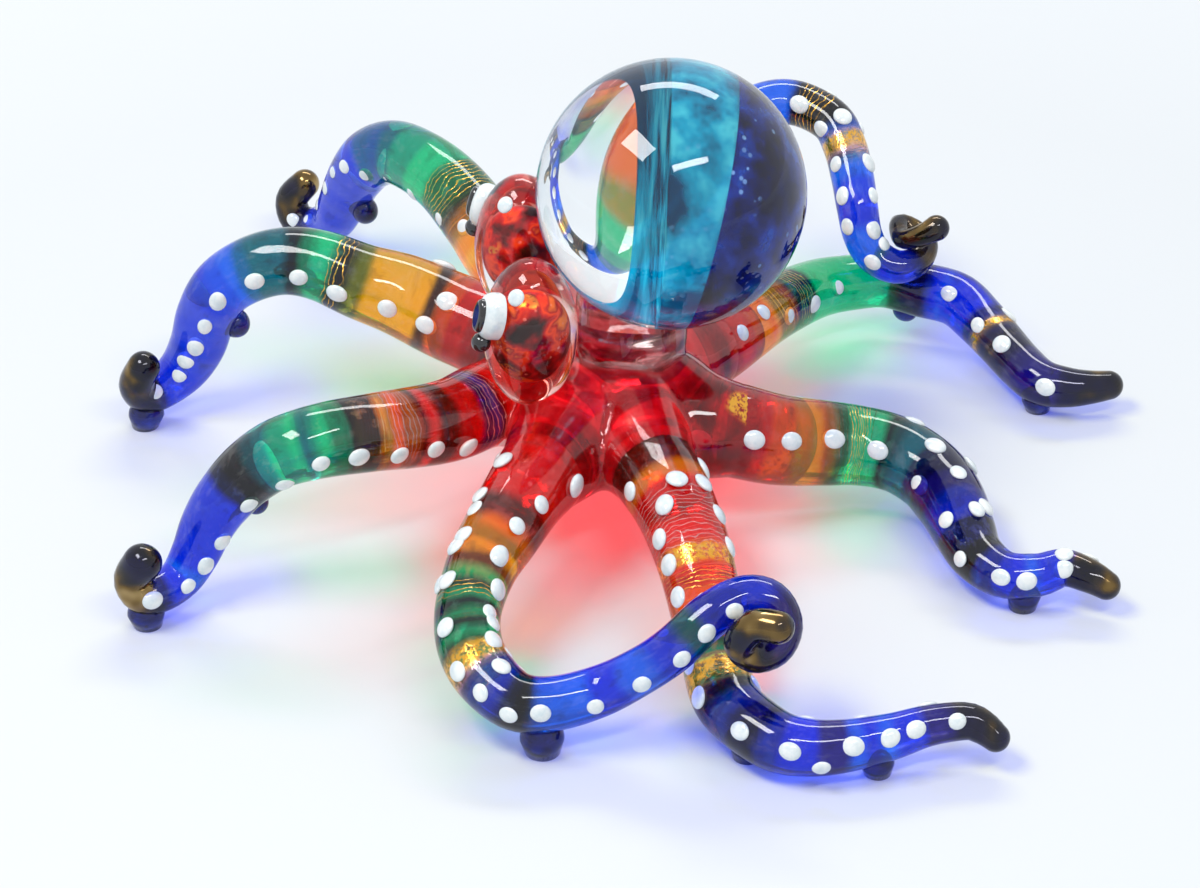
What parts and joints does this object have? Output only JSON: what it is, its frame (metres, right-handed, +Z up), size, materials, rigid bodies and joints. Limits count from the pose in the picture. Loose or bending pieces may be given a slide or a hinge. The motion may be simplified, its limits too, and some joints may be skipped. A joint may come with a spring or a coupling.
{
  "type": "octopus figurine",
  "caption": "Rigid lampworked glass octopus with a round two-colour head, raised dots and eight banded arms, standing on the nubs under its arms.",
  "frame": {"origin": "centre of the bounding box on the plane it stands on", "axes": "the octopus faces -Y, +Z is up from the floor, +X is its own left side"},
  "size_m": [0.1309, 0.1349, 0.0617],
  "materials": {
    "red_glass": "fused clear and ruby red glass, fire polished",
    "clear_glass": "clear glass, fire polished",
    "turquoise_glass": "turquoise glass under clear",
    "cobalt_glass": "cobalt glass with fine bubbles",
    "amber_glass": "red to amber bands in clear glass",
    "green_glass": "green to teal bands in clear glass",
    "blue_glass": "sky to royal blue bands in clear glass",
    "tip_lustre": "dark bronze lustre on navy glass",
    "white_enamel": "raised opaque white glass dots",
    "black_glass": "opaque black glass",
    "nub_glass": "very dark blue glass"
  },
  "bodies": {
    "root": {"arched_right_arm_blue": "blue_glass", "arched_right_arm_green": "green_glass", "arched_right_arm_tip": "tip_lustre", "arched_right_arm_warm": "amber_glass", "arched_right_dots": "white_enamel", "back_left_arm_blue": "blue_glass", "back_left_arm_green": "green_glass", "back_left_arm_tip": "tip_lustre", "back_left_arm_warm": "amber_glass", "back_left_dots": "white_enamel", "back_left_nubs": "nub_glass", "back_right_arm_blue": "blue_glass", "back_right_arm_green": "green_glass", "back_right_arm_tip": "tip_lustre", "back_right_arm_warm": "amber_glass", "back_right_dots": "white_enamel", "back_right_nubs": "nub_glass", "body_hub": "red_glass", "cheek_bead_left": "black_glass", "cheek_bead_right": "black_glass", "curled_left_arm_blue": "blue_glass", "curled_left_arm_green": "green_glass", "curled_left_arm_tip": "tip_lustre", "curled_left_arm_warm": "amber_glass", "curled_left_dots": "white_enamel", "curled_left_nubs": "nub_glass", "eye_lobe_left": "red_glass", "eye_lobe_right": "red_glass", "eye_white_left": "white_enamel", "eye_white_right": "white_enamel", "front_left_arm_blue": "blue_glass", "front_left_arm_green": "green_glass", "front_left_arm_tip": "tip_lustre", "front_left_arm_warm": "amber_glass", "front_left_dots": "white_enamel", "front_left_nubs": "nub_glass", "front_right_arm_blue": "blue_glass", "front_right_arm_green": "green_glass", "front_right_arm_tip": "tip_lustre", "front_right_arm_warm": "amber_glass", "front_right_dots": "white_enamel", "front_right_nubs": "nub_glass", "head_ball_clear": "clear_glass", "head_ball_cobalt": "cobalt_glass", "head_ball_turquoise": "turquoise_glass", "neck_collar": "clear_glass", "pupil_left": "black_glass", "pupil_right": "black_glass", "side_left_arm_blue": "blue_glass", "side_left_arm_green": "green_glass", "side_left_arm_tip": "tip_lustre", "side_left_arm_warm": "amber_glass", "side_left_dots": "white_enamel", "side_left_nubs": "nub_glass", "side_right_arm_blue": "blue_glass", "side_right_arm_green": "green_glass", "side_right_arm_tip": "tip_lustre", "side_right_arm_warm": "amber_glass", "side_right_dots": "white_enamel", "side_right_nubs": "nub_glass"}
  },
  "joints": []
}
